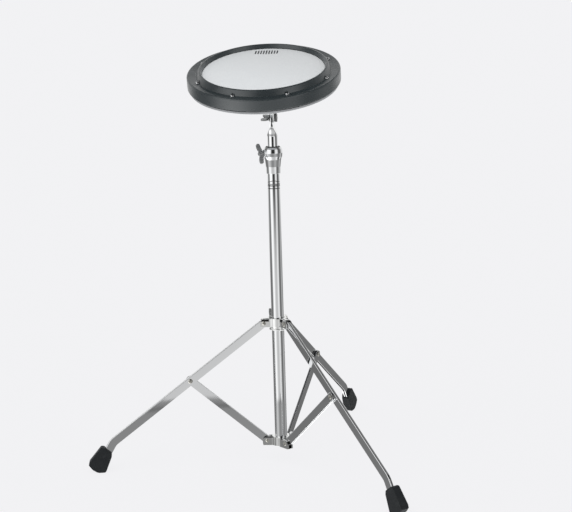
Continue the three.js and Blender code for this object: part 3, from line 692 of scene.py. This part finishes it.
def build_tilter():
    mount = CREST_HEIGHT - PLATE_DEPTH - 0.3
    plate = lathe(
        fillet([(0, mount - 4), (30, mount - 4, 1.4), (30, mount, 0.3), (0, mount)], closed=False), 96,
        closed=False)
    end = LUG_END_RADIUS
    outline = fillet(
        [(end + 1, 26, 14), (end + 3, mount - 12, 10), (24, mount - 3.5), (-24, mount - 3.5),
         (-end - 3, mount - 12, 10), (-end - 1, 26, 14), (-end, 0)], steps=6)
    outline += arc(0, 0, end, 180, 360, 24)[1:]
    near = BLADE_THICKNESS / 2 + HINGE_GAP - PAD_OFFSET
    far = near + LUG_THICKNESS
    lug = moved(prism(outline, near, far, bevel=0.5), SECTION_ALONG_X)
    ribs = []
    for side, points in (
        (near + 0.4, ((near - 6, mount - 3.5), (near + 0.4, mount - 15, 3))),
        (far - 0.4, ((far - 0.4, mount - 15, 3), (far + 6, mount - 3.5))),
    ):
        ribs.append(moved(prism(fillet([(side, mount - 3.5), *points]), -2, 2, bevel=0.5), turn(90, "X")))
    piece("flange", put_together(plate, lug, *ribs), TILTER @ at(PAD_OFFSET, 0, 0), CASTING, "pad",
          "tilter_flange", slot="zinc_casting")

    nut_side = -BLADE_THICKNESS / 2 - 2 * HINGE_GAP - TILT_WASHER_THICKNESS
    thick = TILT_WASHER_THICKNESS
    washer = lathe(fillet([(3.3, 0), (6.5, 0, 0.25), (6.5, thick, 0.25), (3.3, thick)]), 64)
    piece("washer", washer, TILTER @ at(nut_side + HINGE_GAP, 0, 0) @ turn(90, "Y"), NYLON, "mast",
          "tilt_washer", slot="nylon")

    hexagon = [(7 * math.cos(a), 7 * math.sin(a)) for a in [math.pi / 3 * s for s in range(6)]]
    start = BLADE_THICKNESS / 2 + LUG_THICKNESS + 2 * HINGE_GAP
    head = prism(hexagon, start, start + 3.4, bevel=0.5, segments=2)
    shank = threaded(WING_BOLT_RADIUS, nut_side - 8.5, start + 0.3)
    piece("bolt", put_together(head, shank), TILTER @ turn(90, "Y"), DARK_STEEL, "mast", "tilt_bolt",
          slot="plated_steel")
    nut = wing_shape(0, 4.4, 7.5, 15, 10, 3)
    place = TILTER @ at(nut_side, 0, 0) @ turn(180, "Z") @ turn(TILT_NUT_TURN, "X")
    piece("wing_nut", nut, place, ZINC, "tilt_nut", "tilt_wing_nut", slot="zinc_casting")


# ---------------------------------------------------------------- mast and tubes


def build_mast():
    start, end = MAST_FLATTEN
    top = TILT_PIVOT_Z + 11
    wide = MAST_RADIUS
    rings = [(0, start - 6), (6.75, start - 6), (6.75, 150), (7.5, 150), (wide, 150.5), (wide, start)]
    rings += [(wide, start + (end - start) * i / 24) for i in range(1, 25)]
    rings += [(wide, end + (top - end) * i / 16) for i in range(1, 17)] + [(0, top)]
    bm = lathe(rings, 96, closed=False)
    for v in bm.verts:
        t = min(max((v.co.z - start) / (end - 4.4 - start), 0), 1)
        press = t * t * (3 - 2 * t)
        neck = min(max((v.co.z - end + 1.2) / 1.0, 0), 1)
        limit = wide + (PRESSED_HALF_THICKNESS - wide) * press
        limit += (BLADE_THICKNESS / 2 - PRESSED_HALF_THICKNESS) * neck
        x = v.co.x * (limit / wide) ** 0.35
        v.co.x = max(-limit, min(limit, x * (1 + 0.6 * press)))
        v.co.y *= 1 + (PRESSED_HALF_WIDTH / wide - 1) * press
    reach = BLADE_END_RADIUS
    tip = [(22, 140), (22, TILT_PIVOT_Z - 6), (reach, TILT_PIVOT_Z)]
    tip += [(reach * math.cos(a), TILT_PIVOT_Z + reach * math.sin(a)) for a in
            [math.pi * s / 24 for s in range(1, 24)]]
    tip += [(-reach, TILT_PIVOT_Z), (-22, TILT_PIVOT_Z - 6), (-22, 140)]
    window = moved(prism(tip, -20, 20), SECTION_ALONG_X)
    hole = moved(along_x(cylinder(3.3, -8, 8, 32)), at(0, 0, TILT_PIVOT_Z))
    whole = carved(carved(bm, window, operation="INTERSECT"), hole)
    piece("mast", whole, STAND @ turn(-PAD_SWIVEL, "Z"), CHROME, "mast", "mast_tube", slot="chrome",
          sharp=40)


GROOVES = (  # height, half width and depth of each; the top one rises in front
    (433.4, 0.7, 1.0), (436.9, 0.5, 0.8), (438.4, 1.4, 0.5), (440.1, 0.5, 0.8), (443.0, 0.5, 0.9),
)


def build_tubes():
    outer, bore = TUBE_RADIUS, TUBE_RADIUS - 1.1
    profile = [(bore, 32.6), (9.2, 32.6), (outer, 33)]
    for z, half, depth in GROOVES:
        profile += [(outer, z - half), (outer - depth, z - half * 0.35), (outer - depth, z + half * 0.35),
                    (outer, z + half)]
    profile += [(outer, 482), (bore, 482)]
    bm = lathe(profile, 128)
    top_groove = GROOVES[-1][0]
    for v in bm.verts:
        if abs(v.co.z - top_groove) < 0.6:
            around = math.degrees(math.atan2(v.co.x, -v.co.y))
            v.co.z += 2.4 * math.exp(-((around / 32) ** 2))
    tube = piece("tube", bm, STAND, CHROME, "stand", "base_tube", slot="chrome", sharp=50)
    # the faces inside the grooves take the darker metal of painted shade
    tube.data.materials.append(GROOVE)
    for face in tube.data.polygons:
        middle = sum((tube.data.vertices[i].co for i in face.vertices), Vector()) / len(face.vertices)
        if 0.42 < middle.z < 0.45 and middle.xy.length < (TUBE_RADIUS - 0.045) / MM_PER_M:
            face.material_index = 1
    plug = fillet([(0, 30), (8.9, 30, 1.2), (9.3, 32.3, 0.3), (8.1, 32.3), (7.7, 44.6, 0.5), (0, 44.6)],
                  closed=False)
    piece("plug", lathe(plug, 64, closed=False), STAND, RUBBER, "stand", "tube_plug", slot="rubber")


def build_clamp():
    profile = fillet(
        [
            (9.85, 455.7), (10.8, 455.7, 0.4), (11.2, 466, 20), (12.5, 477, 12), (14.3, 481.8, 4),
            (14.85, 487, 6), (14.2, 492.5, 3), (12.6, 495.6, 1.3), (11.4, 495.0, 0.3), (11.4, 482.3),
            (9.85, 482.3),
        ],
        steps=8,
    )
    body = lathe(profile, 128)
    boss = moved(along_x(cylinder(6, 8, 16.2, 48, 0.9)), at(0, 0, CLAMP_BOLT_Z))
    bore = cylinder(11.4, 482.3, 500, 96)
    boss.transform(turn(CLAMP_BOLT_HEADING, "Z"))
    piece("clamp", put_together(body, carved(boss, bore)), STAND, CHROME, "stand", "clamp_housing",
          slot="chrome", sharp=40)
    place = heading(CLAMP_BOLT_HEADING) @ at(0, 0, CLAMP_BOLT_Z) @ turn(28, "X")
    shank = along_x(threaded(WING_BOLT_RADIUS, 11.4, 16.5))
    piece("clamp_bolt", put_together(shank, wing_shape(16.4, 4, 7.2, 16, 6, 3.2)), place, ZINC,
          "clamp_bolt", "clamp_wing_bolt", slot="zinc_casting")


# ---------------------------------------------------------------- collar and bracket


def lobed_outline(radius, middle, half, reach):
    """The outline seen from above: a ring with three pairs of ears, each run into the ring."""
    points = []
    for k in range(3):
        spin = Matrix.Rotation(math.radians(leg_heading(k)), 2)
        sides = []
        for sign in (-1, 1):
            edge = -middle + sign * half
            toward = edge + sign * EAR_RUN_IN
            centre = Vector((math.sqrt((radius + EAR_RUN_IN) ** 2 - toward**2), toward))
            on_ring = centre * radius / (radius + EAR_RUN_IN) - centre
            on_edge = Vector((0, -sign * EAR_RUN_IN))
            run_in = [centre + on_ring.slerp(on_edge, s / 8) for s in range(9)]
            sides.append((math.atan2(toward, centre.x), [*run_in, Vector((reach, edge))]))
        (first, left), (last, right) = sides
        points += [spin @ p for p in (*left, *reversed(right))]
        gap = math.radians(120) + first - last
        for s in range(1, 12):
            a = last + gap * s / 12
            points.append(spin @ Vector((radius * math.cos(a), radius * math.sin(a))))
    return [(p.x, p.y) for p in points]


def eared_ring(z, low, high, radius, bore, middle, width, web, reach, crown):
    """A ring with three pairs of ears, from z + low to z + high.

    Each pair is cut apart at the web's heights to take a bar of the given width. The ears' ends are
    rounded, and crown is the radius that rounds their tops over both plates.
    """
    half = width / 2 + EAR_GAP + EAR_WALL
    body = prism(lobed_outline(radius, middle, half, reach), z + low, z + high, bevel=0.6, clamp=False)
    tools = [cylinder(bore, z + low - 5, z + high + 5, 96)]
    centre, corner = (low + high) / 2, (high - low) / 2
    beyond = [(reach + 3, high + 3), (reach + 3, centre), *arc(reach - corner, centre, corner, 0, 90, 10),
              (reach - corner, high + 3)]
    side = half - crown + 0.04
    shoulder = [(half + 3, high + 3), (half + 3, high - crown), *arc(side, high - crown, crown, 0, 90, 8),
                (side, high + 3)]
    for k in range(3):
        slot = block(radius + 0.8, reach + 5, -middle - width / 2 - EAR_GAP, -middle + width / 2 + EAR_GAP,
                     z + web[0], z + web[1])
        end = moved(moved(prism(beyond, -16, 16), turn(90, "X")), at(0, 0, z))
        edge = moved(prism(shoulder, radius + crown / 4, reach + 4), SECTION_ALONG_X)
        other = edge.copy()
        other.transform(Matrix.Diagonal((1, -1, 1, 1)))
        bmesh.ops.reverse_faces(other, faces=other.faces)
        edges = [moved(tool, at(0, -middle, z)) for tool in (edge, other)]
        tools += [moved(tool, turn(leg_heading(k), "Z")) for tool in (slot, end, *edges)]
    return carved(body, *tools)


def build_collar():
    z = UPPER_PIVOT_Z
    body = eared_ring(z, -6.4, 7, 13.2, COLLAR_BORE, LEG_OFFSET, LEG_WIDTH, (-20, 5.5),
                      PIVOT_RADIUS + COLLAR_EAR_REACH, 4.4)
    sleeve = fillet(
        [
            (COLLAR_BORE, z - 11.6), (13.0, z - 11.6, 0.3), (13.6, z - 11, 0.3), (13.6, z - 9.6, 0.4),
            (12.5, z - 8.8, 0.3), (12.5, z - 6.1), (COLLAR_BORE, z - 6.1),
        ],
        steps=3,
    )
    boss = moved(along_x(cylinder(6.2, 10.9, 19, 48, 0.6)), at(0, 0, z))
    boss.transform(turn(COLLAR_BOLT_HEADING, "Z"))
    boss = carved(boss, cylinder(COLLAR_BORE, z - 20, z + 20, 96))
    piece("collar", put_together(body, lathe(sleeve, 96), boss), STAND, FORMED, "collar", "sliding_collar",
          slot="chrome")
    place = heading(COLLAR_BOLT_HEADING) @ at(0, 0, z)
    bolt = put_together(along_x(threaded(WING_BOLT_RADIUS, 10.1, 20)), wing_shape(19.5, 4.4, 7, 16, 5, 2.4))
    piece("collar_bolt", bolt, place, ZINC, "collar_bolt", "collar_wing_bolt", slot="zinc_casting")


def build_bracket():
    z = LOWER_PIVOT_Z
    body = eared_ring(z, -7.9, 6.3, 12.8, 9.83, BRACE_OFFSET, BRACE_WIDTH, (-6.9, 20),
                      PIVOT_RADIUS + BRACKET_EAR_REACH, 1.6)
    piece("bracket", body, STAND, FORMED, "stand", "fixed_bracket", slot="plated_steel")


# ---------------------------------------------------------------- legs, braces, feet and rivets


LEG_CORNER = Vector((LEG_STRAIGHT, 0))
LEG_TAIL_ALONG = Vector((math.cos(math.radians(LEG_BEND)), -math.sin(math.radians(LEG_BEND))))
LEG_TAIL_ACROSS = Vector((math.sin(math.radians(LEG_BEND)), math.cos(math.radians(LEG_BEND))))


def height_in_leg(point):
    """How far a point is above the leg's middle line, which bends at the corner."""
    return point.y if point.x < LEG_STRAIGHT else (point.xy - LEG_CORNER).dot(LEG_TAIL_ACROSS)


def leg_mesh():
    half = BAR_HEIGHT / 2
    start = LEG_STRAIGHT - (BEND_RADIUS - half) * math.tan(math.radians(LEG_BEND) / 2)
    cy = half - BEND_RADIUS
    end = LEG_CORNER + LEG_TAIL_ALONG * LEG_TAIL
    top = arc(start, cy, BEND_RADIUS, 90, 90 - LEG_BEND, 10)
    under = arc(start, cy, BEND_RADIUS - BAR_HEIGHT, 90 - LEG_BEND, 90, 10)
    outline = [(4, half), *arc(0, 0, 5.2, 90, 270), (4, -half), *reversed(under),
               tuple(end - LEG_TAIL_ACROSS * half), tuple(end + LEG_TAIL_ACROSS * half), *reversed(top)]
    solid = prism(outline, -LEG_WIDTH / 2, LEG_WIDTH / 2, bevel=1.4, segments=4,
                  where=lambda point: height_in_leg(point) > 0.1, clamp=False)
    wide = LEG_WIDTH / 2 - LEG_WALL
    straight = block(-20, LEG_STRAIGHT + 1, -20, half - TOP_SKIN, -wide, wide)
    tail = block(-2, LEG_TAIL + 2, -20, half - TOP_SKIN, -wide, wide)
    tail.transform(turn(-LEG_BEND, "Z"))
    return carved(solid, straight, moved(tail, at(LEG_STRAIGHT, 0, 0)))


def brace_mesh():
    half = BAR_HEIGHT / 2
    outline = arc(0, 0, half, 90, 270) + arc(BRACE_SPAN, 0, half, -90, 90)
    solid = prism(outline, -BRACE_WIDTH / 2, BRACE_WIDTH / 2, bevel=1.0, segments=4,
                  where=lambda point: point.y > 0.1, clamp=False)
    wide = BRACE_WIDTH / 2 - BRACE_WALL
    return carved(solid, block(-20, BRACE_SPAN + 20, -20, half - TOP_SKIN, -wide, wide))


FOOT = [  # (outward, height, corner radius)
    (275.3, 0, 0.8), (286, 0, 10), (294.4, 5.2, 14), (300, 12.8, 2.5), (298.4, 17.8, 2), (280, 40, 2),
    (275.6, 39.6, 2), (264.2, 30.6, 2), (264, 24.6, 3), (273.2, 2.2, 1.5),
]


def foot_mesh():
    bm = prism(fillet(FOOT, steps=5), -6.25, 6.25, bevel=1.6, segments=4)
    for v in bm.verts:
        lowness = min(max(1 - v.co.y / 42, 0), 1)
        v.co.z *= 1 + 0.2 * lowness
    return bm


def dull_and_shade_inside(bar, place, width):
    """Give the channel's inside and its lower rims the duller plate, darkened further as painted shade."""
    bar.data.materials.append(DULL_SHADED_CHANNEL)
    back = place.inverted()
    for face in bar.data.polygons:
        point = back @ (face.center * MM_PER_M)
        if height_in_leg(point) < BAR_HEIGHT / 2 - TOP_SKIN + 0.1 and abs(point.z) < width / 2 - 0.2:
            face.material_index = 1


def build_bar(kind, letter, mesh, place, width):
    bar = piece(f"{kind}_bar_{letter}", mesh, place, PLATED, f"{kind}_{letter}", f"{kind}_{letter}",
                slot="plated_steel")
    dull_and_shade_inside(bar, place, width)


def build_legs():
    for k, letter in enumerate(LETTERS):
        leg = bar_frame(k, UPPER_PIVOT_Z, math.pi / 2 - LEG_ANGLE)
        brace = bar_frame(k, LOWER_PIVOT_Z, BRACE_ANGLE - math.pi / 2)
        build_bar("leg", letter, leg_mesh(), leg @ at(0, 0, LEG_OFFSET), LEG_WIDTH)
        build_bar("brace", letter, brace_mesh(), brace @ at(0, 0, BRACE_OFFSET), BRACE_WIDTH)
        plane = heading(leg_heading(k)) @ turn(90, "X")
        piece(f"foot_{letter}", foot_mesh(), plane @ at(0, 0, LEG_OFFSET), RUBBER, f"leg_{letter}",
              f"rubber_foot_{letter}", slot="rubber", sharp=50)
        upper, lower = plane @ at(PIVOT_RADIUS, UPPER_PIVOT_Z, 0), plane @ at(PIVOT_RADIUS, LOWER_PIVOT_Z, 0)
        ears = LEG_WIDTH / 2 + EAR_GAP + EAR_WALL
        lower_ears = BRACE_WIDTH / 2 + EAR_GAP + EAR_WALL
        rivets = {
            "middle": (leg @ at(LEG_SPAN, 0, 0), LEG_OFFSET - LEG_WIDTH / 2,
                       BRACE_OFFSET + BRACE_WIDTH / 2, f"leg_{letter}"),
            "collar": (upper, LEG_OFFSET - ears, LEG_OFFSET + ears, "collar"),
            "bracket": (lower, BRACE_OFFSET - lower_ears, BRACE_OFFSET + lower_ears, "stand"),
        }
        for where, (place, near, far, body) in rivets.items():
            piece(f"{where}_pin_{letter}", rivet_mesh(near, far), place, RIVET, body,
                  f"{where}_rivet_{letter}", slot="plated_steel")


def rivet_mesh(near, far):
    """A semi-tubular rivet along Z: a low dome on one side and a rolled ring on the other."""
    low, high = near - 1.7, far + 1.7
    profile = fillet(
        [(0, low), (2.2, low + 0.1, 1), (3.6, near - 0.5, 0.5), (3.6, near - 0.3, 0.1), (2, near - 0.3),
         (2, far + 0.3), (3.6, far + 0.3, 0.1), (3.6, far + 0.9, 0.5), (2.9, high, 0.6), (1.9, high, 0.5),
         (1.3, far + 0.6, 0.3), (0, far + 0.5)],
        closed=False, steps=4,
    )
    return lathe(profile, 40, closed=False)


build_rim()
build_head()
build_base()
build_pad_screws()
build_tilter()
build_mast()
build_tubes()
build_clamp()
build_collar()
build_bracket()
build_legs()

# ---------------------------------------------------------------- studio


FLOOR_HALF_SIZE = 60
FLOOR_GLOW = 0.94  # the share of the floor that is evenly lit, so that shadows stay faint

# The light that reflections see: (heading from the front in degrees, brightness), band by band.
MIDDLE_BAND = (
    (-180, .45), (-150, .35), (-125, .17), (-95, .18), (-84, .30), (-72, .85), (-62, 1.15), (-50, 1.15),
    (-42, .98), (-30, .75), (-17, .62), (-6, .56), (6, .68), (17, .72), (27, 1.05), (33, .95), (41, .70),
    (50, .32), (60, .14), (72, .15), (84, .26), (97, .45), (112, .60), (119, .19), (141, .19),
    (150, .80), (180, .45),
)
LOWER_BAND = (
    (-180, .4), (-150, .3), (-125, .18), (-95, .22), (-81, .45), (-67, .62), (-53, .64), (-41, .52),
    (-29, .38), (-17, .29), (-6, .26), (6, .29), (17, .38), (29, .44), (41, .40), (53, .27), (67, .24),
    (81, .24), (97, .32), (112, .6), (119, .17), (141, .17), (150, .8), (180, .4),
)
DEEP_BAND = (
    (-180, .25), (-140, .3), (-112, .4), (-79, .8), (-52, .72), (-29, .34), (-8, .20), (32, .19),
    (50, .32), (62, .3), (72, .05), (95, .04), (108, .35), (118, .65), (138, .5), (160, .9), (172, .5),
    (180, .25),
)
DEEP_GAIN = 3.0
UPPER_BAND = (
    (-180, .95), (-135, .9), (-112, .3), (-95, .15), (-83, .2), (-74, .9), (-65, 1.2), (-35, 1.2),
    (-27, .9), (-18, .15), (-10, .03), (12, .02), (20, .2), (30, .9), (48, .95), (56, .6), (66, .12),
    (85, .08), (105, .4), (120, .8), (150, .9), (180, .95),
)
CEILING_BAND = (
    (-180, .03), (-100, .03), (-84, .75), (-34, .75), (-24, .03), (90, .03), (105, .2), (142, .2),
    (155, .03), (180, .03),
)
ZENITH = (0.03, 0.03, 0.032, 1)
SMUDGE = (0.03, 0.03, 0.03, 1)
SMUDGE_STRENGTH = 0.6
EVEN_LIGHT = (0.62, 0.62, 0.63, 1)
BACKDROP = (0.88, 0.88, 0.895, 1)


def build_floor():
    bm = bmesh.new()
    bmesh.ops.create_grid(bm, x_segments=2, y_segments=2, size=FLOOR_HALF_SIZE)
    mesh = bpy.data.meshes.new("floor")
    bm.to_mesh(mesh)
    bm.free()
    floor = linked("floor", mesh)
    made = bpy.data.materials.new("floor")
    made.use_nodes = True
    n = Nodes(made.node_tree)
    lit = n.add("ShaderNodeBsdfDiffuse", {"Color": (0.80, 0.80, 0.815, 1)})
    even = n.add("ShaderNodeEmission", {"Color": (0.886, 0.886, 0.902, 1), "Strength": 1.0})
    shader = n.add("ShaderNodeMixShader", {0: FLOOR_GLOW, 1: lit.outputs[0], 2: even.outputs[0]})
    n.add("ShaderNodeOutputMaterial", {"Surface": shader.outputs[0]})
    mesh.materials.append(made)
    floor.visible_glossy = False


def build_world():
    """Camera rays see a pale backdrop, reflections see soft boxes and dark flags, the rest is even light."""
    world = bpy.data.worlds.new("studio")
    bpy.context.scene.world = world
    world.use_nodes = True
    n = Nodes(world.node_tree)
    direction = n.add("ShaderNodeTexCoord").outputs["Generated"]
    split = n.add("ShaderNodeSeparateXYZ", {"Vector": direction})
    round_about = n.math("ARCTAN2", split.outputs["X"], n.math("MULTIPLY", split.outputs["Y"], -1.0))
    u = n.math("ADD", n.math("MULTIPLY", round_about, 0.5 / math.pi), 0.5)
    height = n.math("MULTIPLY", n.math("ARCSINE", split.outputs["Z"]), 180 / math.pi)

    def band(pairs):
        return n.ramp(u, [(degrees / 360 + 0.5, value) for degrees, value in pairs])

    def between_heights(start, end):
        """0 at the first elevation, 1 at the second."""
        low, high = sorted((start, end))
        return n.span(height, low, high, *((0, 1) if start < end else (1, 0)), smooth=True)

    glow = n.mix(between_heights(-17.45, -17.15), band(LOWER_BAND), band(MIDDLE_BAND))
    shade = between_heights(-17.5, -17.35)
    for value, start, end in ((height, -16.95, -17.1), (u, 0.49, 0.5), (u, 0.535, 0.525)):
        shade = n.math("MULTIPLY", shade, n.span(value, start, end, 0, 1, smooth=True))
    glow = n.mix(n.math("MULTIPLY", shade, SMUDGE_STRENGTH), glow, SMUDGE)
    glow = n.mix(between_heights(-12.5, -7.5), glow, band(UPPER_BAND))
    ceiling = n.mix(between_heights(58, 66), band(CEILING_BAND), ZENITH)
    glow = n.mix(between_heights(40, 43), glow, ceiling)
    glow = n.mix(between_heights(-24, -38), glow, n.math("MULTIPLY", DEEP_GAIN, band(DEEP_BAND)))
    path = n.add("ShaderNodeLightPath")
    shown = n.mix(path.outputs["Is Glossy Ray"], EVEN_LIGHT, glow)
    shown = n.mix(path.outputs["Is Camera Ray"], shown, BACKDROP)
    background = n.add("ShaderNodeBackground", {"Color": shown, "Strength": 1.0})
    n.add("ShaderNodeOutputWorld", {"Surface": background.outputs[0]})


def sun(name, strength, angle, azimuth, elevation):
    data = bpy.data.lights.new(name, "SUN")
    data.energy = strength
    data.angle = math.radians(angle)
    light = linked(name, data)
    light.rotation_euler = (math.radians(90 - elevation), 0, math.radians(azimuth))
    light.visible_glossy = False


build_floor()
build_world()
sun("key", 1.5, 50, -25, 60)
sun("fill", 0.35, 80, 60, 35)
bpy.context.scene.view_settings.view_transform = "Standard"
